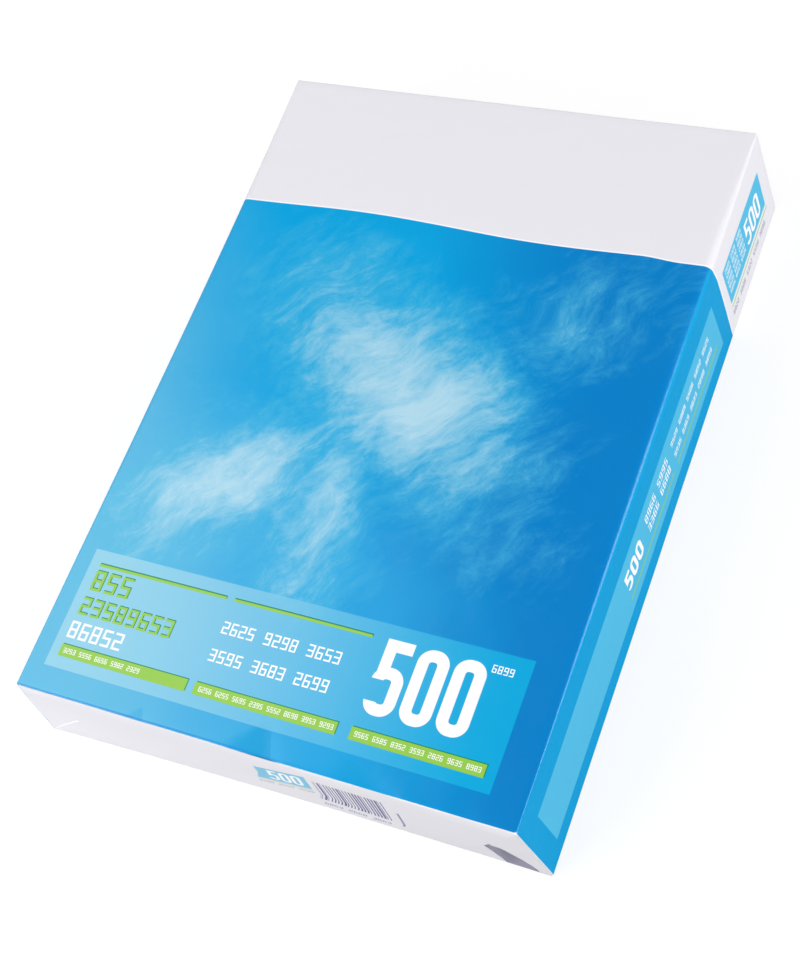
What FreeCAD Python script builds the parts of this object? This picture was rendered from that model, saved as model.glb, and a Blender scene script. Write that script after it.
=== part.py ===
import FreeCAD, Part
import os

Vector = FreeCAD.Vector

# A wrapped ream of A4 office paper, lying flat. Millimetres, +Z up.
# X runs across the sheets and Y along them, with the barcode end towards -Y.
# The origin is at the centre of the bounding box, on the underside.

# The stack of sheets and the wrapper round it
sheet_width = 210.0
sheet_length = 297.0
stack_height = 49.4
wrap_side = 0.5        # wrapper and its slack on each long side
wrap_face = 0.3        # wrapper and its slack above and below the stack
wrap_end = 0.35        # wrapper under the folded flaps at each end
fold_step = 0.2        # each flap stands this far proud of what it lies on
fold_radius = 1.0      # bend of the wrapper round the edges of the stack
edge_bend = 2.0        # rounder bend along the two long upper edges

# The long sides lean out, so that the pack is wider at its foot
side_lean = 2.6

# The lower left corner at the near end is pulled out into an ear
ear_out = 8.0          # beyond the upper edge of the left side
ear_forward = 3.2      # beyond the near end
ear_run = 75.0         # length of the ear along the left side
knee_up = 25.0         # the corner edge flares out down to this height, then drops more steeply
knee_out = 6.0         # beyond the upper edge of the left side
knee_forward = 0.8     # beyond the near end

# Folded ends: the sides are tucked in, then the lower flap goes up and the upper flap comes down
upper_flap = 46.0      # how far the upper flap reaches down the end
upper_flap_taper = 29.0  # how far each slanted edge of it runs in on the way
lower_flap = 33.0      # how far the lower flap reaches up the end

# The open pocket at the near right corner, between the lower flap, the upper flap and the side tuck
pocket_from = 3.5      # from the corner to the pocket, along the foot of the pack
pocket_width = 13.7    # along the foot of the pack
pocket_tip_up = 19.3   # height of its tip, where the two flaps cross
pocket_top_up = 24.3   # height of its highest point, where the tuck passes under the upper flap
pocket_depth = 6.0

# The crease across the upper near edge, a shallow three-sided hollow in the top face
crease_x = 8.0         # its deepest point, right of the middle of the edge
crease_left = 25.0     # it runs out this far to the left of that point
crease_right = 4.0
crease_back = 14.0     # and this far back over the top face
crease_depth = 0.45

# The glued lap of the wrapper shows as a fine step line along the underside
lap_from_side = 40.0
lap_line_width = 0.6
lap_line_depth = 0.2

pack_width = sheet_width + 2 * wrap_side
pack_height = stack_height + 2 * wrap_face
core_length = sheet_length + 2 * wrap_end
half_width = pack_width / 2
half_foot = half_width + side_lean


def solid_from_corners(corners, faces):
    """A closed solid from its corner points and the corner numbers of each flat face."""
    panels = []
    for face in faces:
        loop = [Vector(*corners[number]) for number in face]
        panels.append(Part.Face(Part.makePolygon(loop + loop[:1])))
    solid = Part.Solid(Part.makeShell(panels))
    solid.fixTolerance(1e-6)
    if solid.Volume < 0:
        solid.reverse()
    return solid


def along_y(outline, y_from, y_to):
    """A prism along Y on an outline of (x, z) points."""
    loop = [Vector(x, y_from, z) for x, z in outline]
    face = Part.Face(Part.makePolygon(loop + loop[:1]))
    return face.extrude(Vector(0, y_to - y_from, 0))


def straight_block(half_length):
    """The stack and wrapper with leaning sides, bent round every edge but the near foot."""
    outline = [(-half_foot, 0), (half_foot, 0), (half_width, pack_height), (-half_width, pack_height)]
    block = along_y(outline, -half_length, half_length)
    upper = [edge for edge in block.Edges if is_long(edge) and edge.CenterOfMass.z > fold_radius]
    block = block.makeFillet(edge_bend, upper)
    bends = []
    for edge in block.Edges:
        middle = edge.CenterOfMass
        at_near_foot = middle.z < fold_radius and middle.y < fold_radius - half_length
        at_upper_bend = is_long(edge) and middle.z > fold_radius
        if not at_near_foot and not at_upper_bend:
            bends.append(edge)
    return block.makeFillet(fold_radius, bends)


def is_long(edge):
    """True for the edges that run along the pack."""
    return abs(edge.CenterOfMass.y) < fold_radius


def corner_ear(half_length):
    """The wrapper pulled out at the near left foot, from the upper corner down."""
    clear = 2 * fold_radius
    head = (-half_width + clear, -half_length, pack_height - clear)
    back = (-half_foot + clear, -half_length + ear_run, 0)
    tip = (-half_width - ear_out, -half_length - ear_forward, 0)
    right_foot = (half_foot - clear, -half_length, 0)
    knee = (-half_width - knee_out, -half_length - knee_forward, knee_up)
    corners = [head, back, tip, right_foot, knee]
    faces = [(0, 1, 4), (4, 1, 2), (0, 4, 3), (4, 2, 3), (1, 3, 2), (0, 3, 1)]
    return solid_from_corners(corners, faces)


def pack_body(layers):
    """The closed pack out to a number of flap layers at its ends."""
    half_length = core_length / 2 + layers * fold_step
    return straight_block(half_length).fuse(corner_ear(half_length))


def upper_flap_edge(height):
    """How far from the middle the slanted edges of the upper flap are at a height."""
    return half_width - upper_flap_taper * (pack_height - height) / upper_flap


def upper_flap_outline():
    """The upper flap narrows downwards from the two upper corners."""
    foot = pack_height - upper_flap
    return [(-half_width, pack_height), (half_width, pack_height),
            (upper_flap_edge(foot), foot), (-upper_flap_edge(foot), foot)]


def near_lower_flap():
    """The near lower flap starts at the ear and ends at the pocket, where it rises through its tip."""
    left = -half_width - ear_out
    right = half_foot - pocket_from - pocket_width
    lean = (right - upper_flap_edge(pocket_tip_up)) / pocket_tip_up
    return [(left, 0), (right, 0), (right - lean * lower_flap, lower_flap), (left + lower_flap, lower_flap)]


def far_lower_flap():
    """The far lower flap narrows upwards at 45 degrees from just inside both corners."""
    foot = half_foot - 2 * fold_radius
    return [(-foot, 0), (foot, 0), (foot - lower_flap, lower_flap), (-foot + lower_flap, lower_flap)]


def folded_flaps(side, lower_outline):
    """The two flaps of one end, the lower one under the upper one; side is -1 near, 1 far."""
    reach = side * (core_length / 2 + ear_forward + 2 * fold_step)
    inner = side * (core_length / 2 - pocket_depth)
    lower = pack_body(1).common(along_y(lower_outline, inner, reach))
    upper = pack_body(2).common(along_y(upper_flap_outline(), inner, reach))
    return [lower, upper]


def pocket_hollow():
    """The four-sided pit of the pocket, deepest behind the middle of the side tuck's edge."""
    outer = half_foot - pocket_from
    top = upper_flap_edge(pocket_top_up)
    mouth = [(outer, 0), (outer - pocket_width, 0), (upper_flap_edge(pocket_tip_up), pocket_tip_up),
             (top, pocket_top_up)]
    face = -core_length / 2
    opening = along_y(mouth, face - ear_forward, face)
    rim = [(x, face, z) for x, z in mouth]
    bottom = ((outer + top) / 2, face + pocket_depth, pocket_top_up / 2)
    sides = [(0, 1, 4), (1, 2, 4), (2, 3, 4), (3, 0, 4)]
    pit = solid_from_corners(rim + [bottom], [(0, 1, 2, 3)] + sides)
    return opening.fuse(pit)


def edge_crease():
    """The shallow three-sided hollow of the crease: a wedge that deepens towards the edge."""
    face = -core_length / 2 - 2 * fold_step
    left = (crease_x - crease_left, face, pack_height)
    right = (crease_x + crease_right, face, pack_height)
    back = (crease_x - crease_right, face + crease_back, pack_height)
    deep = (crease_x, face, pack_height - crease_depth)
    above = (crease_x, face, pack_height + crease_depth)
    corners = [left, right, back, deep, above]
    return solid_from_corners(corners, [(0, 2, 3), (3, 2, 1), (0, 3, 4), (3, 1, 4), (0, 4, 2), (2, 4, 1)])


def lap_line():
    """The step of the glued lap, a fine groove along the underside."""
    line = Part.makeBox(lap_line_width, core_length, lap_line_depth)
    line.translate(Vector(-half_foot + lap_from_side, -core_length / 2, 0))
    return line


def wrapped_ream():
    """The whole pack as one closed solid, moved so that its origin is under its middle."""
    near = folded_flaps(-1, near_lower_flap())
    far = folded_flaps(1, far_lower_flap())
    pack = pack_body(0).multiFuse(near + far)
    pack = pack.cut([pocket_hollow(), edge_crease(), lap_line()]).removeSplitter()
    box = pack.optimalBoundingBox(False)
    pack.translate(Vector(-box.Center.x, -box.Center.y, 0))
    return pack


os.makedirs("parts", exist_ok=True)
ream = wrapped_ream()
ream.exportStep("parts/wrapped_ream.step")
box = ream.optimalBoundingBox(False)
print("wrapped_ream:", len(ream.Solids), "solid,", round(ream.Volume / 1000), "cubic centimetres")
print("size:", round(box.XLength, 2), round(box.YLength, 2), round(box.ZLength, 2))
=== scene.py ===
"""The looks of a wrapped ream of office paper: its folded, printed wrapper, on a white studio floor.

Lengths are metres. The wrapper is shaped about the middle of the straight stack, then leaned and
pulled to its resting form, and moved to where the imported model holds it.
"""

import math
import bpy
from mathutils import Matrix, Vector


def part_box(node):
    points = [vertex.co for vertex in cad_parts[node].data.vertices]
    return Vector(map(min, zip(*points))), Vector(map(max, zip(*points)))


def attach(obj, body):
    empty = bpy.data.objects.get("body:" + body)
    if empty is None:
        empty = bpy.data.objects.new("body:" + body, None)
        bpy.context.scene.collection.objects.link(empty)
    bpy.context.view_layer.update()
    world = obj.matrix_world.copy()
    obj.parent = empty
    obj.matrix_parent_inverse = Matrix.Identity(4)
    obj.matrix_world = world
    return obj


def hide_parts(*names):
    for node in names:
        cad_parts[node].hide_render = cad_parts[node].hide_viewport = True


bl_info = {
    "name": "Wrapped Ream of Paper",
    "version": (1, 0, 0),
    "blender": (4, 5, 0),
    "location": "3D View > Sidebar > Ream",
    "description": "Builds the folded and printed wrapper of a ream of paper and its studio stage",
    "category": "Object",
}

import bmesh
import bpy
from mathutils import Quaternion, Vector, noise

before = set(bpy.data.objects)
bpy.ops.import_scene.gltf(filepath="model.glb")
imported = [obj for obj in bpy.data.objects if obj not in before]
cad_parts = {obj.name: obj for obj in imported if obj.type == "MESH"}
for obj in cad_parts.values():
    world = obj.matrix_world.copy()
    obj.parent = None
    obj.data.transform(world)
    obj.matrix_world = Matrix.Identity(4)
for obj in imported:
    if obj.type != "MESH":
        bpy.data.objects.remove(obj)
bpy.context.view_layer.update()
PACK_LOW, PACK_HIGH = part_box("wrapped_ream")

MM = 0.001
NODE = "wrapped_ream"
FLAT_MAP = "PrintSheet"
QUARTER = math.pi / 2
NEAR, FAR = -1, 1
LEFT, RIGHT = -1, 1

WELD = 2e-6  # points of a piece that are nearer than this become one
SHARP_EDGE = math.radians(32)
BEND_STEPS = 6  # steps of a grid round each bend
FACING = 0.7  # a column belongs to a face when its way out leans this much to it
CRINKLE_SIZE = 0.06  # width of the soft waves of the wrapper
CRINKLE_SEED = 7.0


def length(name, millimetres, description):
    """A size that a user may change, given in millimetres."""
    return bpy.props.FloatProperty(
        name=name, description=description, default=millimetres * MM, unit="LENGTH", precision=5)


def screen_colour(red, green, blue):
    """The linear colour of a screen colour given in steps of 255."""
    steps = [channel / 255 for channel in (red, green, blue)]
    return [s / 12.92 if s <= 0.04045 else ((s + 0.055) / 1.055) ** 2.4 for s in steps]


def ink(name, red, green, blue, description):
    """A colour that a user may change."""
    return bpy.props.FloatVectorProperty(
        name=name, description=description, size=3, subtype="COLOR", min=0, max=1,
        default=screen_colour(red, green, blue))


class ReamSizes(bpy.types.PropertyGroup):
    """Sizes of the pack and of its folds."""

    width: length("Width", 211, "Width of the top face, across the sheets")
    side_lean: length("Side lean", 2.6, "How much further out the foot of each long side stands")
    ear_out: length("Ear out", 8, "Reach of the pulled-out corner beyond the left upper edge")
    ear_forward: length("Ear forward", 3.2, "Reach of the pulled-out corner beyond the near end")
    ear_run: length("Ear run", 75, "Length of the pulled-out corner along the left side")
    foot_lean: length("Foot lean", 0.7, "How much further forward the foot of the near end stands")
    edge_bend: length("Edge bend", 3.2, "Radius over the long upper edges, at their middle")
    corner_bend: length("Corner bend", 0.6, "Radius over the long edges, at both ends")
    end_bend: length("End bend", 0.6, "Radius of the folds at both ends")
    flap_step: length("Flap step", 0.2, "How far each folded flap stands proud")
    upper_flap: length("Upper flap", 46, "Depth of the upper flap of each end")
    upper_taper: length("Upper taper", 30, "How far the slanted edges of the upper flap run in")
    lower_flap: length("Lower flap", 33, "Height of the lower flap of each end")
    tuck: length("Side tuck", 32, "Depth of the tucked-in sides of each end")
    pocket_from: length("Pocket from", 4.9, "From the near right corner to the pocket, along the foot")
    pocket_width: length("Pocket width", 12.3, "Width of the open pocket along the foot")
    pocket_tip: length("Pocket tip", 18.8, "Height at which the two flaps cross beside the pocket")
    pocket_top: length("Pocket top", 22.6, "Height at which the tuck passes under the upper flap")
    pocket_depth: length("Pocket depth", 6, "Depth of the pocket behind the side tuck")
    pocket_curl: length("Pocket curl", 1.8, "How far the edge of the tuck curls in over the pocket")
    lap_from_side: length("Lap from side", 40, "Place of the glued lap, from the left foot")
    grain: length("Mesh step", 2.2, "Spacing of the points of the wrapper")
    crinkle: length("Crinkle", 0.35, "Depth of the soft waves of the wrapper")


class ReamInks(bpy.types.PropertyGroup):
    """Colours of the print and of the paper."""

    paper: ink("Paper", 232, 231, 237, "Coated side of the unprinted wrapper")
    # The reverse is darker than the paper's own reverse: painted shade of the pocket behind the side tuck
    reverse: ink("Reverse", 134, 132, 153, "Uncoated reverse of the wrapper, seen in the pocket")
    deep: ink("Deep sky", 0, 126, 199, "Deepest blue of the sky, at the right")
    clear: ink("Clear sky", 0, 162, 222, "Middle blue of the sky")
    haze: ink("Haze", 92, 184, 222, "Pale blue towards the near left")
    wisp: ink("Wisp", 74, 184, 222, "Thin parts of the clouds")
    cloud: ink("Cloud", 208, 232, 240, "Bright parts of the clouds")
    side: ink("Side blue", 0, 156, 214, "Plain blue of the long sides")
    panel_left: ink("Panel, left", 154, 210, 230, "Lighter panel of the top, at its left")
    panel_right: ink("Panel, right", 0, 174, 224, "Lighter panel of the top, at its right")
    side_panel: ink("Side panel", 84, 189, 228, "Lighter panel of the right side")
    leaf: ink("Light green", 148, 201, 76, "Bars and rules")
    shade: ink("Dark green", 0, 134, 88, "Thin shadow of the bars and rules")
    white: ink("White ink", 252, 252, 253, "White lines and figures")
    code: ink("Code ink", 78, 72, 136, "Stripes and small figures on white paper")


def sizes():
    return bpy.context.scene.ream_sizes


def inks():
    return bpy.context.scene.ream_inks


def limited(value, low=0):
    """The value, kept between low and 1."""
    return min(1, max(low, value))


def new_object(name, data):
    """A new object in the scene."""
    made = bpy.data.objects.new(name, data)
    bpy.context.scene.collection.objects.link(made)
    return made


# The pulled-out corner flares out fast below the upper edge, and then drops more steeply
EAR_FLARE = 2.6


class Pack:
    """The straight pack's main measures, from the frame and the sizes."""

    def __init__(self):
        s = sizes()
        run = PACK_HIGH[1] - PACK_LOW[1]
        self.half_width = s.width / 2
        self.height = PACK_HIGH[2] - PACK_LOW[2]
        self.half_length = (run - s.ear_forward - 3 * s.flap_step) / 2
        self.middle = Vector((PACK_LOW[0] + s.ear_out + self.half_width,
                              PACK_HIGH[1] - self.half_length - 2 * s.flap_step, PACK_LOW[2]))

    def settled(self, place):
        """Where a point of the straight pack rests: the sides lean and one corner is pulled out."""
        s = sizes()
        down = 1 - place.z / self.height
        back = max(0, place.y + self.half_length) / s.ear_run
        across = max(0, place.x + self.half_width) / (2 * self.half_width)
        pull = limited(down - back - across)
        flare = (s.ear_out - s.side_lean) * (1 - (1 - pull) ** EAR_FLARE)
        lean = s.side_lean * down * place.x / self.half_width
        forward = s.ear_forward * pull ** 2 + s.foot_lean * down * max(0, 1 - back) * (1 - pull)
        return self.middle + Vector((place.x + lean - flare, place.y - forward, place.z))

    def unleaned(self, x, z):
        """The x that a resting point has on the straight pack, away from the pulled-out corner."""
        return x / (1 + sizes().side_lean * (1 - z / self.height) / self.half_width)


class Sheet:
    """Grids of points of the folded wrapper, each with its place on the flat, printed sheet."""

    def __init__(self):
        self.mesh = bmesh.new()
        self.flat = self.mesh.loops.layers.uv.new(FLAT_MAP)
        self.pack = Pack()

    def grid(self, rows, outward, material=0):
        """Adds a grid from rows of (place, flat place), turned so that it faces outward."""
        points = []
        for row in rows:
            points.append([(self.mesh.verts.new(self.pack.settled(place)), flat) for place, flat in row])
        faces = []
        for row, after in zip(points, points[1:]):
            for one, two, three, four in zip(row, row[1:], after[1:], after):
                face = self.mesh.faces.new([corner[0] for corner in (one, two, three, four)])
                for loop, corner in zip(face.loops, (one, two, three, four)):
                    loop[self.flat].uv = corner[1]
                face.material_index = material
                face.smooth = True
                face.normal_update()
                faces.append(face)
        facing = sum((face.normal * face.calc_area() for face in faces), Vector()).dot(Vector(outward))
        if facing < 0:
            bmesh.ops.reverse_faces(self.mesh, faces=faces)

    def piece(self, name, materials):
        """Makes the finished piece, crinkled, riding on the pack and standing for its solid."""
        bmesh.ops.remove_doubles(self.mesh, verts=self.mesh.verts, dist=WELD)
        shell = bpy.data.meshes.new(name)
        self.mesh.to_mesh(shell)
        self.mesh.free()
        piece = new_object(name, shell)
        for material in materials:
            shell.materials.append(material)
        crinkled(piece, materials[0])
        piece.data.set_sharp_from_angle(angle=SHARP_EDGE)
        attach(piece, "root")
        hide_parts(NODE)


def crinkle_tree():
    """A node group that moves the points of a sheet by soft noise, the same wherever two pieces meet."""
    tree = bpy.data.node_groups.new("Wrapper crinkle", "GeometryNodeTree")
    ports = tree.interface
    ports.new_socket("Geometry", in_out="INPUT", socket_type="NodeSocketGeometry")
    for name, default in (("Depth", sizes().crinkle), ("Size", CRINKLE_SIZE), ("Seed", CRINKLE_SEED)):
        socket = ports.new_socket(name, in_out="INPUT", socket_type="NodeSocketFloat")
        socket.default_value = default
    ports.new_socket("Material", in_out="INPUT", socket_type="NodeSocketMaterial")
    ports.new_socket("Geometry", in_out="OUTPUT", socket_type="NodeSocketGeometry")
    entry, place, pitch, waves, middle, depth, shift, real, slot, printed, coat, result = [
        tree.nodes.new(kind) for kind in (
            "NodeGroupInput", "GeometryNodeInputPosition", "ShaderNodeMath", "ShaderNodeTexNoise",
            "ShaderNodeVectorMath", "ShaderNodeVectorMath", "GeometryNodeSetPosition",
            "GeometryNodeRealizeInstances", "GeometryNodeInputMaterialIndex", "FunctionNodeCompare",
            "GeometryNodeSetMaterial", "NodeGroupOutput")]
    pitch.operation = "DIVIDE"
    pitch.inputs[0].default_value = 1
    waves.noise_dimensions = "4D"
    waves.inputs["Detail"].default_value = 1.5
    middle.operation = "SUBTRACT"
    middle.inputs[1].default_value = (0.5, 0.5, 0.5)
    depth.operation = "SCALE"
    printed.data_type = "INT"
    printed.operation = "EQUAL"
    for source, output, target, entrance in (
        (slot, 0, printed, 2),
        (entry, "Size", pitch, 1),
        (place, "Position", waves, "Vector"),
        (entry, "Seed", waves, "W"),
        (pitch, 0, waves, "Scale"),
        (waves, "Color", middle, 0),
        (middle, 0, depth, 0),
        (entry, "Depth", depth, "Scale"),
        (entry, "Geometry", shift, "Geometry"),
        (depth, 0, shift, "Offset"),
        (shift, "Geometry", real, "Geometry"),
        (real, "Geometry", coat, "Geometry"),
        (printed, 0, coat, "Selection"),
        (entry, "Material", coat, "Material"),
        (coat, "Geometry", result, "Geometry"),
    ):
        tree.links.new(source.outputs[output], target.inputs[entrance])
    return tree


def crinkled(piece, material):
    """Gives a piece its soft waves as a plain mesh, with a material on all but its reverse."""
    tree = bpy.data.node_groups.get("Wrapper crinkle") or crinkle_tree()
    modifier = piece.modifiers.new("Crinkle", "NODES")
    modifier.node_group = tree
    named = {item.name: item.identifier for item in tree.interface.items_tree if item.in_out == "INPUT"}
    modifier[named["Depth"]] = sizes().crinkle
    modifier[named["Size"]] = CRINKLE_SIZE
    modifier[named["Seed"]] = CRINKLE_SEED
    modifier[named["Material"]] = material
    evaluated = piece.evaluated_get(bpy.context.evaluated_depsgraph_get())
    shell = bpy.data.meshes.new_from_object(evaluated)
    piece.modifiers.remove(modifier)
    shell.name = piece.name
    piece.data = shell


def evenly(start, end, count):
    """Evenly spaced values from start to end, in a number of steps."""
    return [start + (end - start) * k / count for k in range(count + 1)]


def spread(start, end, step):
    """Evenly spaced values from start to end, at most a step apart."""
    return evenly(start, end, max(1, math.ceil(abs(end - start) / step)))


def unique(values):
    """The values in order, without repeats of the one before."""
    kept = []
    for value in values:
        if not kept or any(abs(a - b) > 1e-9 for a, b in zip(value, kept[-1])):
            kept.append(value)
    return kept


FAR_SLACK = 0.6  # how much rounder the long upper edges are towards the far end
LAP_SLOPE = 0.3 * MM  # the glued lap underneath rises over this run
LAP_STEP = 0.18 * MM  # by this height
LAP_EDGE = 0.05 * MM  # and drops back over this run


class Section:
    """The straight pack's cross-section at a place along it.

    Its columns are (x, z, outward x, outward z, flat place). Print is laid out on the flat sheet as if
    the edges were sharp: the sides and the underside run on from the top at half the width."""

    def __init__(self, y):
        s = sizes()
        pack = Pack()
        reach = y / pack.half_length
        slack = max(0, 1 - reach ** 2) * (1 + FAR_SLACK * reach)
        self.bend = s.corner_bend + (s.edge_bend - s.corner_bend) * slack
        self.foot = s.corner_bend
        self.half = pack.half_width
        self.height = pack.height
        self.across = math.ceil(s.width / s.grain)
        self.down = math.ceil(pack.height / s.grain)

    def edge(self, side, radius, centre_z, turn, flat):
        """Columns round one long edge; the turn is measured up from the outward side."""
        columns = []
        for angle, place in zip(evenly(*turn, BEND_STEPS), evenly(*flat, BEND_STEPS)):
            out, up = side * math.cos(angle), math.sin(angle)
            x = side * (self.half - radius) + radius * out
            columns.append((x, centre_z + radius * up, out, up, place))
        return columns

    def top(self):
        """From the left side's upper end over the top face to the right side's upper end."""
        bend, half, centre = self.bend, self.half, self.height - self.bend
        left = self.edge(LEFT, bend, centre, (0, QUARTER), (-half - bend, bend - half))
        flat = [(x, self.height, 0, 1, x) for x in evenly(bend - half, half - bend, self.across)]
        right = self.edge(RIGHT, bend, centre, (QUARTER, 0), (half - bend, half + bend))
        return unique(left + flat + right)

    def side(self, side):
        """Down one long side."""
        heights = evenly(self.height - self.bend, self.foot, self.down)
        return [(side * self.half, z, side, 0, side * (self.half + self.height - z)) for z in heights]

    def under(self):
        """From the right side's foot across the underside to the left side's foot."""
        foot, half = self.foot, self.half
        start = half + self.height
        end = start + 2 * half
        right = self.edge(RIGHT, foot, foot, (0, -QUARTER), (start - foot, start + foot))
        lap = sizes().lap_from_side - half
        places = evenly(half - foot, foot - half, self.across // 2) + [lap + LAP_SLOPE, lap, lap - LAP_EDGE]
        flat = []
        for x in sorted(places, reverse=True):
            up = LAP_STEP if x == lap else 0
            flat.append((x, up, 0, -1, start + half - x))
        left = self.edge(LEFT, foot, foot, (-QUARTER, 0), (end - foot, end + foot))
        return unique(right + flat + left)


def stations(step):
    """Places along the pack: (y, how far the fold has drawn in, flat place), near end first."""
    radius = sizes().end_bend
    half = Pack().half_length
    straight = half - radius
    turns = zip(evenly(0, QUARTER, BEND_STEPS), evenly(straight, half + radius, BEND_STEPS))
    bends = []
    for turn, flat in turns:
        bends.append((straight + radius * math.sin(turn), radius * (1 - math.cos(turn)), flat))
    near = [(-y, inset, -flat) for y, inset, flat in bends[::-1]]
    middle = [(y, 0, y) for y in spread(-straight, straight, step)]
    return unique(near + middle + bends)


# Creases across the upper near edge: (back x, back y, edge x, run to the left, run to the right, depth)
CREASES = [
    (2.7, -133.0, 8.6, 26, 5, 0.9),
    (37.0, -139.0, 56.0, 26, 6, 0.45),
    (-49.0, -143.0, -47.0, 10, 4, 0.35),
    (-80.0, -137.0, -88.0, 14, 12, 0.3),
    (84.0, -141.0, 88.0, 12, 8, 0.25),
]


def crease_drop(x, y):
    """How far the top face is pressed in at a point, in metres."""
    near = -Pack().half_length / MM
    drop = 0
    for back_x, back_y, edge_x, left, right, depth in CREASES:
        along = limited((back_y - y / MM) / (back_y - near))
        if along == 0:
            continue
        off = back_x + (edge_x - back_x) * along - x / MM
        run = (left if off > 0 else right) * along
        drop += depth * along * max(0, 1 - abs(off) / run)
    return drop * MM


def draped_rows(columns_of, places, pressed=False):
    """Rows of a grid over the columns of the section at each place along the pack."""
    rows = []
    for y, inset, flat_y in places:
        row = []
        for x, z, out, up, flat_x in columns_of(Section(y)):
            drop = crease_drop(x, y) * max(0, up) if pressed else 0
            row.append((Vector((x - out * inset, y, z - up * inset - drop)), (flat_x, flat_y)))
        rows.append(row)
    return rows


def build_face(name, rows, outward, material):
    """One face of the wrapper between its two ends."""
    sheet = Sheet()
    sheet.grid(rows, outward)
    sheet.piece(name, [material])


def build_top():
    rows = draped_rows(Section.top, stations(sizes().grain), pressed=True)
    build_face("wrapper_top", rows, (0, 0, 1), top_print())


def build_side(side, name, material):
    rows = draped_rows(lambda section: section.side(side), stations(sizes().grain))
    build_face(name, rows, (side, 0, 0), material)


def build_underside():
    rows = draped_rows(Section.under, stations(2 * sizes().grain))
    build_face("wrapper_underside", rows, (0, 0, -1), plain_print("Printed wrapper, underside"))


FOLD_EASE = 4 * MM  # a fold comes clear of its own bend over this depth
FOLD_WAVE_HIGH = 0.25  # height of the soft waves of the folds, in millimetres
FOLD_WAVE_RATE = 28  # and how many of them there are in a metre
FLAP_REACH = 0.1 * MM  # how far the edge of a flap reaches into the layer below
TUCK_LAYERS = -0.2  # the side tucks lie under the flaps
TUCK_RISE = 36 * MM  # most that the lower edge of the tuck rises, behind the upper flap
CURL_HIGH = 6 * MM  # height of the curled-in strip of the tuck
HOLLOW_CURVE = 1.4  # how steeply the floor of the pocket starts
HOLLOW_ROWS = (-1, 0, 0.2, 0.4, 0.6, 0.8, 1)


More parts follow.
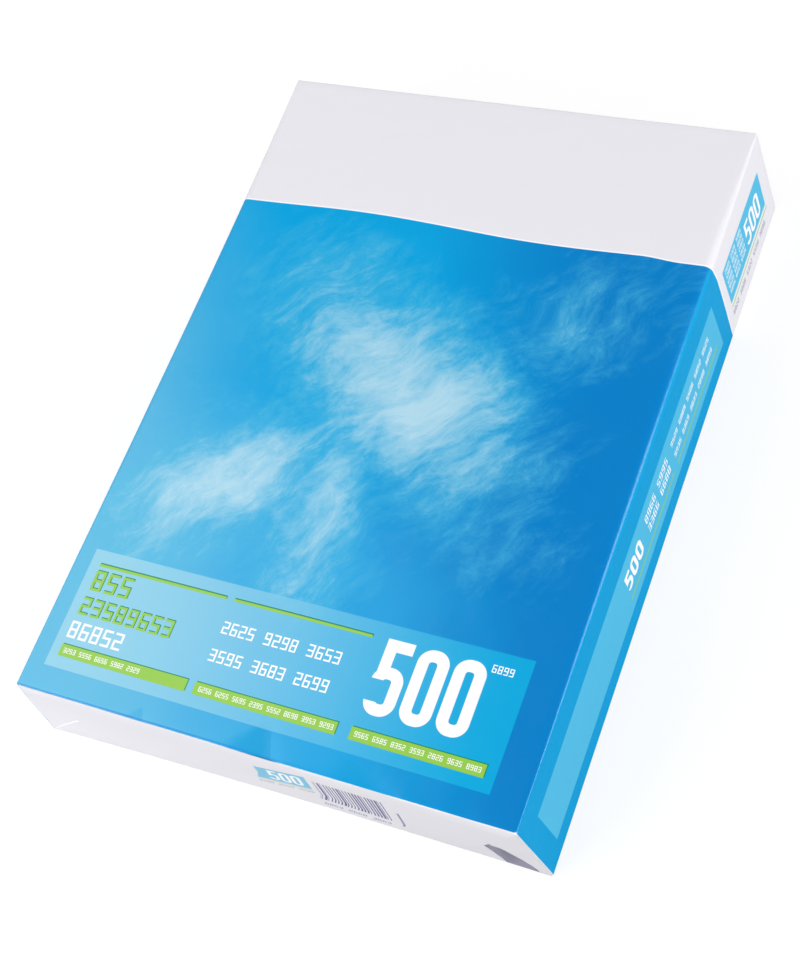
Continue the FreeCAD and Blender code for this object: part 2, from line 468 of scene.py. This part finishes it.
class EndFolds:
    """The folded end of the wrapper: two side tucks, the lower flap and the upper flap over them."""

    def __init__(self, end):
        self.end = end
        self.s = sizes()
        self.pack = Pack()
        self.sheet = Sheet()
        self.section = Section(self.pack.half_length)
        self.corner = self.pack.half_width - self.s.end_bend
        self.foot_corner = self.pack.half_width + self.s.side_lean - self.s.pocket_from

    def place(self, x, z, layers, settle):
        """A point of a fold: it lies proud by its layers once it is clear of its own bend."""
        ease = limited(settle / FOLD_EASE)
        proud = self.s.flap_step * layers * ease * ease * (3 - 2 * ease)
        wave = noise.noise(Vector((x, z, 3.0 * self.end)) * FOLD_WAVE_RATE) * FOLD_WAVE_HIGH * MM * ease
        return Vector((x, self.end * (self.pack.half_length + proud + wave), z))

    def flat(self, x, z):
        """The flat place of a point of a fold: print runs on from the top face."""
        return (x, self.end * (self.pack.half_length + self.pack.height - z))

    def border(self, columns):
        """Where the columns of the section arrive at the end."""
        inset = self.s.end_bend
        return unique([(x - out * inset, z - up * inset) for x, z, out, up, _ in columns])

    def skirt(self, edge, layers, outward):
        """The thickness of a flap along one of its edges, down to the layer below."""
        back = Vector((0, -self.end * (layers * self.s.flap_step + FLAP_REACH), 0))
        self.sheet.grid([edge, [(place + back, flat) for place, flat in edge]], outward)

    def flap(self, start, foot_z, left_foot, right_foot, layers, up):
        """A flap from its bend to its free edge; up is the way out of its foot edge."""
        depth = abs(start[len(start) // 2][1] - foot_z)
        left_x, right_x = start[0][0], start[-1][0]
        rows = []
        for t in spread(0, 1, self.s.grain / depth):
            row = []
            for x, z in start:
                share = (x - left_x) / (right_x - left_x)
                at = (x + (left_foot + (right_foot - left_foot) * share - x) * t, z + (foot_z - z) * t)
                row.append((self.place(*at, layers, t * depth), self.flat(*at)))
            rows.append(row)
        self.sheet.grid(rows, (0, self.end, 0))
        self.skirt([row[0] for row in rows], layers, (-1, 0, up))
        self.skirt(rows[-1], layers, (0, 0, up))
        self.skirt([row[-1] for row in rows], layers, (1, 0, up))

    def upper_edge(self, z):
        """How far from the middle the slanted edges of the upper flap are at a height."""
        s = self.s
        resting = self.pack.half_width - s.upper_taper * (self.pack.height - z) / s.upper_flap
        return self.pack.unleaned(resting, z)

    def upper_flap(self):
        columns = [c for c in self.section.top() if c[3] > FACING]
        foot_z = self.pack.height - self.s.upper_flap
        foot = self.upper_edge(foot_z)
        self.flap(self.border(columns), foot_z, -foot, foot, 2, -1)

    def lower_flap(self):
        s = self.s
        columns = [c for c in self.section.under() if c[3] < -FACING][::-1]
        start = self.border(columns)
        top = self.pack.half_width - s.lower_flap
        right_top = top
        if self.end == NEAR:
            edge = self.pack.unleaned(self.foot_corner - s.pocket_width, 0)
            left, right = start[0][0], start[-1][0]
            start = [(left + (x - left) * (edge - left) / (right - left), z) for x, z in start]
            right_top = edge + (self.upper_edge(s.pocket_tip) - edge) * s.lower_flap / s.pocket_tip
        self.flap(start, s.lower_flap, -top, right_top, 1, 1)

    def pocket_shares(self, inward):
        """How far a point is along the pocket: 0 at the foot's corner and 1 under the upper flap."""
        first = self.corner - self.pack.unleaned(self.foot_corner, 0)
        last = self.corner - self.upper_edge(self.s.pocket_top)
        return (inward - first) / (last - first)

    def side_tuck(self, side):
        """A tucked-in side; at the near right corner its lower edge rises and curls in."""
        s = self.s
        upper = [c for c in self.section.top() if c[2] * side > FACING]
        lower = [c for c in self.section.under() if c[2] * side > FACING]
        columns = self.border(sorted(upper + self.section.side(side) + lower, key=lambda c: -c[1]))
        highest, lowest = columns[0][1], columns[-1][1]
        has_pocket = self.end == NEAR and side == RIGHT
        rows = []
        for inward in spread(0, s.tuck, s.grain):
            share = max(0, self.pocket_shares(inward)) if has_pocket else 0
            foot = max(lowest, min(share * s.pocket_top, TUCK_RISE))
            hold = limited(3 * share) * limited(3.4 - 4 * share)
            row = []
            for x, z in columns:
                z = foot + (z - lowest) * (highest - foot) / (highest - lowest)
                place = self.place(x - side * inward, z, TUCK_LAYERS, inward)
                place.y -= self.end * s.pocket_curl * max(0, 1 - (z - foot) / CURL_HIGH) ** 2 * hold
                row.append((place, self.flat(place.x, z)))
            rows.append(row)
        self.sheet.grid(rows, (0, self.end, 0))
        return [row[-1][0] for row in rows]

    def pocket(self, mouth):
        """The hollow behind the tuck's edge: deepest there, with its floor running out to the foot."""
        s = self.s
        rows = []
        for down in HOLLOW_ROWS:
            row = []
            for point in mouth:
                share = self.pocket_shares(self.corner - point.x)
                deep = s.pocket_depth * limited(2 * share) * limited(1.4 - 1.6 * share, 0.05)
                z = point.z + (s.end_bend - point.z) * max(0, down)
                y = point.y if down < 0 else deep * (1 - down ** HOLLOW_CURVE) - self.pack.half_length
                place = Vector((point.x, max(y, point.y), z)) if down < 1 else Vector((point.x, y, z))
                row.append((place, self.flat(point.x, z)))
            rows.append(row)
        # The pocket takes the darkened reverse as its material: painted shade
        self.sheet.grid(rows, (0.3, self.end, -0.3), material=1)

    def build(self, name, material):
        for side in (LEFT, RIGHT):
            mouth = self.side_tuck(side)
            if self.end == NEAR and side == RIGHT:
                self.pocket(mouth)
        self.lower_flap()
        self.upper_flap()
        self.sheet.piece(name, [material, reverse_paper_painted_shade()])


PRINT_EDGE = 0.09  # half the width of the edge of a printed shape, in millimetres


def operator(operation):
    """A method that adds a Math node to a value and the others given."""
    return lambda value, *others: value.maths(operation, *others)


class Value:
    """A socket in a material, with arithmetic that adds Math nodes."""

    __add__ = operator("ADD")
    __sub__ = operator("SUBTRACT")
    __mul__ = operator("MULTIPLY")
    __truediv__ = operator("DIVIDE")
    __abs__ = operator("ABSOLUTE")
    __lt__ = operator("LESS_THAN")
    __gt__ = operator("GREATER_THAN")
    least = operator("MINIMUM")
    most = operator("MAXIMUM")

    def __init__(self, paint, socket):
        self.paint = paint
        self.socket = socket

    def maths(self, operation, *others):
        values = dict(enumerate((self,) + others))
        return self.paint.node("Math", {"operation": operation}, values)

    def __rsub__(self, other):
        return self.maths("MULTIPLY_ADD", -1, other)

    def __neg__(self):
        return self * -1

    def ramp(self, low, high):
        """0 below low, 1 above high, and smooth between them; the two may be swapped."""
        sockets = {"Value": self, "From Min": low, "From Max": high}
        return self.paint.node("MapRange", {"interpolation_type": "SMOOTHSTEP"}, sockets)

    def printed(self):
        """Where a distance in millimetres is inside a shape, with a print's crisp edge."""
        sockets = {"Value": self, "From Min": PRINT_EDGE, "From Max": -PRINT_EDGE}
        return self.paint.node("MapRange", {"interpolation_type": "LINEAR"}, sockets)


class Paint:
    """A material's nodes, made one by one, and the shapes that its print is made of."""

    def __init__(self, name):
        self.material = bpy.data.materials.new(name)
        self.material.use_nodes = True
        self.tree = self.material.node_tree
        self.shader = self.tree.nodes["Principled BSDF"]
        flat = self.node("UVMap", {"uv_map": FLAT_MAP}, {})
        sockets = {"Vector": flat, "Scale": 1 / MM}
        self.sheet = self.node("VectorMath", {"operation": "SCALE"}, sockets)
        self.across = self.node("SeparateXYZ", {}, {"Vector": self.sheet}, "X")
        self.along = self.node("SeparateXYZ", {}, {"Vector": self.sheet}, "Y")
        self.place = self.node("TexCoord", {}, {}, "Object")

    def node(self, kind, settings, sockets, output=0):
        """Adds a node, with its settings first and then the values or links of its sockets."""
        made = self.tree.nodes.new("ShaderNode" + kind)
        for name, value in settings.items():
            setattr(made, name, value)
        for name, value in sockets.items():
            if isinstance(value, Value):
                self.tree.links.new(value.socket, made.inputs[name])
            else:
                made.inputs[name].default_value = value
        return Value(self, made.outputs[output])

    def chance(self, seed):
        """A number between 0 and 1 for each whole seed, always the same one."""
        return self.node("TexWhiteNoise", {"noise_dimensions": "1D"}, {"W": seed}, "Value")

    def noise(self, vector, scale, detail, rough, warp=0.0, output="Fac"):
        sockets = {"Vector": vector, "Scale": scale, "Detail": detail, "Roughness": rough, "Distortion": warp}
        return self.node("TexNoise", {"noise_dimensions": "3D"}, sockets, output)

    def colour(self, value):
        return value if isinstance(value, Value) else (*value[:3], 1.0)

    def mix(self, share, first, second):
        """A colour between two colours."""
        sockets = {0: share, 6: self.colour(first), 7: self.colour(second)}
        return self.node("Mix", {"data_type": "RGBA"}, sockets, 2)

    def box(self, x_from, x_to, y_from, y_to, across=None, along=None):
        """Distance in millimetres to a rectangle on the flat sheet, negative inside."""
        across = across or self.across
        along = along or self.along
        beside = abs(across - (x_from + x_to) / 2) - abs(x_to - x_from) / 2
        beyond = abs(along - (y_from + y_to) / 2) - abs(y_to - y_from) / 2
        return beside.most(beyond)

    def boxes(self, corners, across=None, along=None):
        """Distance in millimetres to the nearest of some rectangles."""
        return self.nearest([self.box(*corner, across, along) for corner in corners])

    def nearest(self, shapes):
        joined = shapes[0]
        for shape in shapes[1:]:
            joined = joined.least(shape)
        return joined

    def ring(self, x, y, wide, high, stroke, across, along):
        """Distance to a round-cornered ring, from its lower left corner."""
        radius = wide * 0.46
        beside = abs(across - (x + wide / 2)) - (wide / 2 - radius)
        beyond = abs(along - (y + high / 2)) - (high / 2 - radius)
        out_x, out_y = beside.most(0.0), beyond.most(0.0)
        outside = (out_x * out_x + out_y * out_y).maths("SQRT")
        return abs(outside + beside.most(beyond).least(0.0) - radius + stroke / 2) - stroke / 2

    def five_hundred(self, x, y, wide, high, stroke, across, along):
        """The number of sheets in the pack, as three plain figures."""
        flag = (x + wide * 0.08, x + wide * 0.96, y + high - stroke, y + high)
        stem = (x + wide * 0.08, x + wide * 0.08 + stroke, y + high * 0.5, y + high)
        bowl = self.ring(x, y, wide, high * 0.64, stroke, across, along)
        gap = self.box(x - wide, x + wide * 0.42, y + high * 0.17, y + high * 0.46, across, along)
        noughts = [self.ring(x + wide * 1.16 * k, y, wide, high, stroke, across, along) for k in (1, 2)]
        return self.nearest([self.boxes([flag, stem], across, along), bowl.most(-gap)] + noughts)

    def figures(self, lines, across, along, seed=0, group=4):
        """Lines of small plain figures: 1 on them. Each line is (start, foot, height, places).

        Every group of figures is followed by a bare place. A figure is seven strokes. Its four stems
        depend on its number in the row 2, 3, 9, 8, 6, 5, which is drawn for each place with a fixed seed."""
        pitch, wide, stroke, row_seed = 0.74, 0.56, 0.13, 37.3
        x, y, row, inside = 0, 0, 0, 0
        for number, (start, foot, high, places) in enumerate(lines, 1):
            here = self.box(start, start + high * pitch * places, foot, foot + high, across, along) < 0.0
            x = here * ((across - start) / high) + x
            y = here * ((along - foot) / high) + y
            row = here * (number + seed) + row
            inside = here + inside
        cell = (x / pitch).maths("FLOOR")
        x = x - cell * pitch
        kind = (self.chance(cell + row * row_seed) * 6.0).maths("FLOOR")
        upper = y > 0.5
        lower = 1 - upper
        left = upper * (kind > 1.5) + lower * ((abs(kind - 3.5) < 1.0) + (kind < 0.5))
        right = upper * (kind < 3.5) + lower * (kind > 0.5)
        stems = (x < stroke) * left + (x > wide - stroke) * right
        bars = (abs(y - 0.5) < stroke / 2) + (abs(y - 0.5) > 0.5 - stroke)
        spaced = (cell.maths("MODULO", group + 1.0) < group - 0.5) * (x < wide) * inside
        return (stems + bars).least(1.0) * spaced

    def white_band(self):
        """Distance in millimetres beyond the printed field, towards the white band; it waves gently."""
        wave = ((self.across + BAND_SHIFT) * (math.pi / BAND_RUN)).maths("COSINE")
        wave = wave * self.across.ramp(172.0, 150.0) * BAND_WAVE
        dip = self.across.ramp(76.0, 94.0) * self.across.ramp(118.0, 106.0) * BAND_DIP
        return self.along - BAND_EDGE - wave + dip

    def wrapped(self, printed, bare):
        """The printed field and the bare paper beyond it: the white band, and the near fold with a strip of
        painted shade.
        """
        c = inks()
        beyond = self.white_band()
        near = -self.along - Pack().half_length / MM - NEAR_EDGE + self.across * NEAR_SLANT
        # Painted shade: a darker strip of deep blue along the near bend, strongest at the left
        last = (-near - NEAR_SHADE_STRIP).printed() * self.across.ramp(80.0, -60.0) * 0.7
        colour = self.mix((-beyond).printed(), printed, bare)
        colour = self.mix((abs(beyond) - BAND_LINE).printed(), colour, c.white)
        return self.mix((-near).printed(), self.mix(last, colour, c.deep), c.paper)

    def finish(self, colour, roughness, gloss, crinkle=0.22):
        """Coated paper: its colour, its soft gloss and the fine unevenness of its surface."""
        rub_depth, bump_height, fibre_share = 0.12, 1.2 * MM, 0.02
        rub = self.noise(self.place, 55.0, 5.0, 0.6) * rub_depth + (roughness - rub_depth / 2)
        waves = self.noise(self.place, 45.0, 3.0, 0.55, 0.4)
        fibres = self.noise(self.place, 900.0, 2.0, 0.6)
        sockets = {"Strength": crinkle, "Distance": bump_height, "Height": waves + fibres * fibre_share}
        bump = self.node("Bump", {}, sockets, "Normal")
        for name, value in (("Base Color", colour), ("Roughness", rub), ("Normal", bump)):
            self.tree.links.new(value.socket, self.shader.inputs[name])
        self.shader.inputs["Specular IOR Level"].default_value = gloss
        return self.material


# The border of the printed field to the white band, in millimetres on the sheet
BAND_EDGE = 84.5  # the printed field ends near here
BAND_WAVE = 1.15  # height of the border's waves
BAND_RUN = 76  # from a crest of the waves to the next hollow
BAND_SHIFT = 42  # how far a crest is to the left of the middle
BAND_DIP = 1.35  # how far the border dips on the upper right side
BAND_LINE = 0.3  # half the width of the white line along the border

# The near edge of the printed field, in millimetres
NEAR_EDGE = 0.12  # how far down the near end it is, at the middle
NEAR_SLANT = 0.0055
NEAR_SHADE_STRIP = 1.3  # from the near edge to the darker strip, which is painted shade of the near bend

CLOUD_DRIFT = 48  # the way that the feathers of the clouds run, in degrees
CLOUD_SWIRL = 48  # how far the clouds are swirled about, in millimetres

# Clouds of the sky: (middle x, middle y, turn in degrees, half length, half width, strength), on the sheet
CLOUDS = [
    (2, 8, -36, 96, 48, 1.15),
    (-56, -46, 24, 70, 42, 1.1),
    (-8, -50, 80, 62, 38, 0.85),
    (60, 50, 30, 52, 18, 0.24),
]


def sky(paint):
    """A plain sky: deep blue at the right, haze at the near left, and drifting feathery cloud."""
    c = inks()
    flat = paint.sheet
    drift = paint.noise(flat, 0.011, 3.0, 0.5) - 0.5
    right = paint.across * 0.0068 + paint.along * 0.0012 + drift * 0.7
    base = paint.mix(right.ramp(-0.1, 0.55), c.clear, c.deep)
    low = paint.along * -0.004 - paint.across * 0.0075 + drift * 0.5
    base = paint.mix(low.ramp(0.3, 1.15), base, c.haze)
    swirl = paint.noise(flat, 0.012, 3.0, 0.55, output="Color")
    sockets = {0: swirl, 1: (CLOUD_SWIRL, CLOUD_SWIRL, 0), 2: flat}
    moved = paint.node("VectorMath", {"operation": "MULTIPLY_ADD"}, sockets)
    sockets = {0: moved, 1: (CLOUD_SWIRL / 2, CLOUD_SWIRL / 2, 0)}
    moved = paint.node("VectorMath", {"operation": "SUBTRACT"}, sockets)
    body = None
    for x, y, turn, long, wide, strength in CLOUDS:
        sockets = {"Vector": moved, "Location": (x, y, 0), "Rotation": (0, 0, math.radians(turn)),
                   "Scale": (long, wide, 1)}
        local = paint.node("Mapping", {"vector_type": "TEXTURE"}, sockets)
        reach = paint.node("VectorMath", {"operation": "LENGTH"}, {"Vector": local}, "Value")
        cloud = (1 - reach) * strength
        body = cloud if body is None else body.most(cloud)
    sockets = {"Vector": moved, "Rotation": (0, 0, math.radians(CLOUD_DRIFT)), "Scale": (2.2, 1, 1)}
    streaks = paint.node("Mapping", {"vector_type": "TEXTURE"}, sockets)
    feather = paint.noise(streaks, 0.04, 9.0, 0.7, 0.2)
    tufts = paint.noise(streaks, 0.2, 7.0, 0.75)
    body = body * 0.9 + (feather - 0.5) * 1.6 + (tufts - 0.5) * 1.0
    base = paint.mix(body.ramp(-0.15, 0.7) * 0.8, base, c.wisp)
    return paint.mix(body.ramp(0.25, 1.2) * 0.68, base, c.cloud)


def crease_painted_shade(paint, crease):
    """Painted shade where the pressed-in facet on the left of a crease turns away from the light: the share
    of side blue laid there.
    """
    back_x, back_y, edge_x, left, _, depth = crease
    near = -Pack().half_length / MM
    share = (back_y - paint.along) / (back_y - near)
    inward = share * (edge_x - back_x) + back_x - paint.across
    fade = (1 - inward / (share.most(0.02) * left)).ramp(0.0, 0.5)
    return inward.ramp(-0.2, 0.2) * fade * share.ramp(0.0, 0.3) * depth


def top_print():
    """The top face: sky, the white band, the panel and its plain figures and lines."""
    c = inks()
    paint = Paint("Printed wrapper, top")
    u, v = paint.across, paint.along
    tint = paint.mix(u.ramp(-100, 90), c.panel_left, c.panel_right)
    printed = sky(paint)
    # Painted shade: the facets of the three deepest creases take more of the side blue
    for crease in CREASES[:3]:
        printed = paint.mix(crease_painted_shade(paint, crease), printed, c.side)
    panel = paint.box(-97.6, 91.8, -138.3, -87.6)
    printed = paint.mix(panel.printed() * 0.8, printed, tint)
    bars = [(-93.6, -35.6), (-32.2, 28.6), (34.2, 87.5)]
    rules = [(-93.2, -34.3), (-30.8, 28.8)]
    shades = [(a + 0.4, b + 0.4, -133.0, -128.0) for a, b in bars]
    shades += [(a + 0.3, b + 0.3, -94.1, -92.8) for a, b in rules]
    leaves = [(a, b, -133.4, -128.4) for a, b in bars]
    leaves += [(a, b, -94.4, -93.3) for a, b in rules]
    printed = paint.mix(paint.boxes(shades).printed(), printed, c.shade)
    printed = paint.mix(paint.boxes(leaves).printed(), printed, c.leaf)
    title = [(-93.0, -104.8, 8.6, 3), (-93.4, -115.4, 7.4, 8)]
    shadow = 0.4
    printed = paint.mix(paint.figures(title, u - shadow, v - shadow, 4, 9), printed, c.shade)
    printed = paint.mix(paint.figures(title, u, v, 4, 9), printed, c.leaf)
    notes = [(-93.6, -125.4, 7.0, 5), (77.2, -95.6, 3.0, 4)]
    printed = paint.mix(paint.figures(notes, u, v, 11, 9), printed, c.white)
    small = [
        (-30.8, -107.8, 5.0, 14), (-31.4, -119.4, 5.0, 14),
        (-92.0, -131.8, 2.0, 24), (-30.0, -131.8, 2.0, 39), (36.0, -131.8, 2.0, 34),
    ]
    printed = paint.mix(paint.figures(small, u, v, 20), printed, c.white)
    number = paint.five_hundred(34.4, -122.6, 12.6, 29.6, 4.6, u, v)
    printed = paint.mix(number.printed(), printed, c.white)
    edge = sizes().width / MM / 2
    printed = paint.mix((abs(u) - edge).ramp(-0.3, 0.3), printed, c.side)
    colour = paint.wrapped(printed, c.paper)
    aside, beyond = u - edge, v + Pack().half_length / MM
    corner = (aside * aside + beyond * beyond).maths("SQRT")
    worn = corner - paint.noise(paint.sheet, 0.9, 4.0, 0.6) * 1.4
    colour = paint.mix(worn.ramp(0.5, 0.0) * 0.6, colour, c.white)
    return paint.finish(colour, roughness=0.2, gloss=0.27)


def plain_blue(paint):
    """The slightly uneven blue of the long sides."""
    shift = paint.noise(paint.sheet, 0.018, 3.0, 0.5)
    return paint.mix(shift.ramp(0.3, 0.75) * 0.3, inks().side, inks().clear)


def right_print():
    """The right side: plain blue with a light panel, and the label on the white part."""
    c = inks()
    paint = Paint("Printed wrapper, right side")
    v = paint.along
    down = paint.across - sizes().width / MM / 2
    panel = paint.box(14.2, 41.0, -137.4, 75.0, down, v)
    printed = paint.mix(panel.printed() * 0.92, plain_blue(paint), c.side_panel)
    rules = paint.boxes([(34.9, 35.8, 16.0, 70.3), (34.9, 35.8, -43.7, 11.8)], down, v)
    printed = paint.mix(rules.printed(), printed, c.leaf)
    lines = [(16.0, -23.4, 2.8, 24), (16.0, -31.0, 2.8, 24), (-17.0, -24.2, 4.2, 9), (-17.0, -30.6, 4.2, 9)]
    printed = paint.mix(paint.figures(lines, v, -down, 40), printed, c.white)
    number = paint.five_hundred(-43.0, -30.6, 5.6, 10.0, 1.9, v, -down)
    printed = paint.mix(number.printed(), printed, c.white)

    label = paint.box(14.0, 35.6, 90.4, 140.0, down, v)
    bare = paint.mix(label.printed(), c.paper, c.side_panel)
    rule = paint.box(37.6, 38.3, 90.4, 141.0, down, v)
    bare = paint.mix(rule.printed(), bare, c.leaf)
    bare = paint.mix(paint.figures([(90.0, -43.4, 2.6, 24)], v, -down, 50) * 0.8, bare, c.code)
    line_step = 3.4
    lines = [(92.6, -18.0 - line_step * k, 2.1, 14) for k in range(5)]
    bare = paint.mix(paint.figures(lines, v, -down, 60), bare, c.white)
    number = paint.five_hundred(116.6, -33.2, 5.6, 13.4, 1.8, v, -down)
    bare = paint.mix(number.printed(), bare, c.white)
    return paint.finish(paint.wrapped(printed, bare), roughness=0.34, gloss=0.15)


def plain_print(name):
    """A hidden face: plain blue up to the white band."""
    paint = Paint(name)
    return paint.finish(paint.wrapped(plain_blue(paint), inks().paper), roughness=0.34, gloss=0.2)


def near_print():
    """The near end: white paper with a small label and a row of plain stripes."""
    c = inks()
    paint = Paint("Wrapper, near end")
    down = -paint.along - Pack().half_length / MM
    slant, label_turn = 0.13, 0.28
    u = paint.across + down * slant
    low = down + u * label_turn - 2.5
    label = paint.box(-2.5, 20.4, 12.3, 28.2, u, low)
    colour = paint.mix(label.printed() * 0.8, c.paper, c.side_panel)
    number = paint.five_hundred(2.4, -26.0, 4.6, 11.6, 1.5, u, -low)
    colour = paint.mix(number.printed(), colour, c.white)
    rule = paint.box(-2.5, 20.4, 29.2, 29.9, u, low)
    colour = paint.mix(rule.printed() * 0.8, colour, c.leaf)
    colour = paint.mix(paint.figures([(-2.0, -33.8, 2.2, 14)], u, -low, 70) * 0.6, colour, c.code)
    stripe_pitch, narrowest, spread_of_widths = 1.3, 0.22, 0.6
    step = u / stripe_pitch
    cell = step.maths("FLOOR")
    stripes = step - cell < paint.chance(cell) * spread_of_widths + narrowest
    stripes = stripes * paint.box(22.9, 51.6, 12.0, 36.5, u, down).printed()
    colour = paint.mix(stripes * 0.9, colour, c.code)
    colour = paint.mix(paint.figures([(24.6, -43.4, 2.6, 14)], u, -down, 80) * 0.8, colour, c.code)
    mark = paint.box(55.4, 56.4, 22.0, 40.0, u, down)
    colour = paint.mix(mark.printed() * 0.7, colour, c.code)
    return paint.finish(colour, roughness=0.42, gloss=0.3, crinkle=0.3)


def far_print():
    """The far end: plain paper."""
    paint = Paint("Wrapper, far end")
    fleck = paint.noise(paint.place, 60.0, 3.0, 0.5)
    colour = paint.mix(fleck * 0.06, inks().paper, inks().reverse)
    return paint.finish(colour, roughness=0.42, gloss=0.3, crinkle=0.3)


def reverse_paper_painted_shade():
    """The uncoated reverse of the wrapper, darkened as painted shade inside the pocket."""
    paint = Paint("Wrapper reverse")
    fleck = paint.noise(paint.place, 220.0, 4.0, 0.6)
    colour = paint.mix(fleck * 0.2, inks().reverse, inks().paper)
    return paint.finish(colour, roughness=0.7, gloss=0.2, crinkle=0.3)


class REAM_OT_top(bpy.types.Operator):
    """Builds the printed top face with its bent edges and creases."""

    bl_idname = "ream.top"
    bl_label = "Top Face"

    def execute(self, context):
        build_top()
        return {"FINISHED"}


class REAM_OT_sides(bpy.types.Operator):
    """Builds the two long sides."""

    bl_idname = "ream.sides"
    bl_label = "Long Sides"

    def execute(self, context):
        build_side(RIGHT, "wrapper_right_side", right_print())
        build_side(LEFT, "wrapper_left_side", plain_print("Printed wrapper, left side"))
        return {"FINISHED"}


class REAM_OT_underside(bpy.types.Operator):
    """Builds the underside with its glued lap."""

    bl_idname = "ream.underside"
    bl_label = "Underside"

    def execute(self, context):
        build_underside()
        return {"FINISHED"}


class REAM_OT_ends(bpy.types.Operator):
    """Builds the folded near and far ends."""

    bl_idname = "ream.ends"
    bl_label = "Folded Ends"

    def execute(self, context):
        EndFolds(NEAR).build("near_end_folds", near_print())
        EndFolds(FAR).build("far_end_folds", far_print())
        return {"FINISHED"}


# The photograph's view: where the camera stands and looks, from the middle of the stack's foot
CAMERA_AT = Vector((281.7, -261.3, 608.1)) * MM
CAMERA_LOOKS_AT = Vector((3.6, -20.4, 25.0)) * MM
CAMERA_ROLL = math.radians(-32.0)
CAMERA_LENS = 64.4

# The lamps: (name, place, point that it looks at, size, power)
LAMPS = [
    ("key_lamp", (0.9, -0.9, 1.5), (0, 0, 0), 1.0, 2),
    ("side_lamp", (1.5, 0.2, 0.35), (0, 0, 0.03), 1.0, 20),
    ("end_lamp", (-0.75, -1.15, 0.35), (-0.05, 0, 0.03), 0.8, 16),
    ("sheen_lamp", (-0.82, 0.03, 1.05), (-0.05, -0.05, 0.05), 0.8, 3.6),
]


def soft_light(name, place, target, size, power):
    """A large square lamp that looks at a point."""
    lamp = bpy.data.lights.new(name, "AREA")
    lamp.shape = "SQUARE"
    lamp.size = size
    lamp.energy = power
    holder = new_object(name, lamp)
    holder.location = place
    holder.rotation_euler = (Vector(target) - Vector(place)).to_track_quat("-Z", "Y").to_euler()


def build_floor():
    """A pale floor that the camera sees as nearly white, with the soft shadow of the pack."""
    reach, grey, seen = 3.0, 0.25, 0.78
    floor_mesh = bpy.data.meshes.new("studio_floor")
    corners = [(-reach, -reach, 0), (reach, -reach, 0), (reach, reach, 0), (-reach, reach, 0)]
    floor_mesh.from_pydata(corners, [], [(0, 1, 2, 3)])
    floor = new_object("studio_floor", floor_mesh)
    material = bpy.data.materials.new("Studio floor")
    material.use_nodes = True
    tree = material.node_tree
    tree.nodes.clear()
    result = tree.nodes.new("ShaderNodeOutputMaterial")
    matt = tree.nodes.new("ShaderNodeBsdfDiffuse")
    matt.inputs["Color"].default_value = (grey, grey, grey, 1)
    glow = tree.nodes.new("ShaderNodeEmission")
    path = tree.nodes.new("ShaderNodeLightPath")
    lift = tree.nodes.new("ShaderNodeMath")
    lift.operation = "MULTIPLY"
    lift.inputs[1].default_value = seen
    both = tree.nodes.new("ShaderNodeAddShader")
    tree.links.new(path.outputs["Is Camera Ray"], lift.inputs[0])
    tree.links.new(lift.outputs[0], glow.inputs["Strength"])
    tree.links.new(matt.outputs[0], both.inputs[0])
    tree.links.new(glow.outputs[0], both.inputs[1])
    tree.links.new(both.outputs[0], result.inputs["Surface"])
    floor_mesh.materials.append(material)


def build_world():
    """A white room to the camera, an even soft light to the paper, and a dim one to its gloss."""
    seen, mirrored, lit = 1.0, 0.03, 0.55
    world = bpy.data.worlds.new("Studio")
    world.use_nodes = True
    tree = world.node_tree
    path = tree.nodes.new("ShaderNodeLightPath")
    level = lit
    for ray, strength in (("Is Glossy Ray", mirrored), ("Is Camera Ray", seen)):
        step = tree.nodes.new("ShaderNodeMapRange")
        if isinstance(level, float):
            step.inputs["To Min"].default_value = level
        else:
            tree.links.new(level, step.inputs["To Min"])
        step.inputs["To Max"].default_value = strength
        tree.links.new(path.outputs[ray], step.inputs["Value"])
        level = step.outputs[0]
    tree.nodes["Background"].inputs["Color"].default_value = (1, 1, 1, 1)
    tree.links.new(level, tree.nodes["Background"].inputs["Strength"])
    bpy.context.scene.world = world


def build_camera(middle):
    camera = bpy.data.cameras.new("photo_view")
    camera.lens = CAMERA_LENS
    camera.clip_start = 0.01
    holder = new_object("photo_view", camera)
    holder.location = middle + CAMERA_AT
    aim = (CAMERA_LOOKS_AT - CAMERA_AT).to_track_quat("-Z", "Y")
    holder.rotation_euler = (aim @ Quaternion((0, 0, 1), CAMERA_ROLL)).to_euler()
    bpy.context.scene.camera = holder


class REAM_OT_stage(bpy.types.Operator):
    """Builds the white floor, the soft lights and the camera of the photograph's view."""

    bl_idname = "ream.stage"
    bl_label = "Studio Stage"

    def execute(self, context):
        build_floor()
        build_world()
        build_camera(Pack().middle)
        for lamp in LAMPS:
            soft_light(*lamp)
        context.scene.view_settings.view_transform = "Standard"
        return {"FINISHED"}


class REAM_PT_panel(bpy.types.Panel):
    """Lists the steps that build the ream."""

    bl_idname = "REAM_PT_panel"
    bl_label = "Ream of Paper"
    bl_space_type = "VIEW_3D"
    bl_region_type = "UI"
    bl_category = "Ream"

    def draw(self, context):
        for step in STEPS:
            self.layout.operator(step.bl_idname)
        for group in (context.scene.ream_sizes, context.scene.ream_inks):
            box = self.layout.box()
            for name in group.__annotations__:
                box.prop(group, name)


STEPS = (REAM_OT_stage, REAM_OT_top, REAM_OT_sides, REAM_OT_underside, REAM_OT_ends)
CLASSES = (ReamSizes, ReamInks) + STEPS + (REAM_PT_panel,)


def register():
    for cls in CLASSES:
        bpy.utils.register_class(cls)
    bpy.types.Scene.ream_sizes = bpy.props.PointerProperty(type=ReamSizes)
    bpy.types.Scene.ream_inks = bpy.props.PointerProperty(type=ReamInks)


def unregister():
    del bpy.types.Scene.ream_inks
    del bpy.types.Scene.ream_sizes
    for cls in reversed(CLASSES):
        bpy.utils.unregister_class(cls)


def main():
    register()
    bpy.ops.ream.stage()
    bpy.ops.ream.top()
    bpy.ops.ream.sides()
    bpy.ops.ream.underside()
    bpy.ops.ream.ends()


if __name__ == "__main__":
    main()
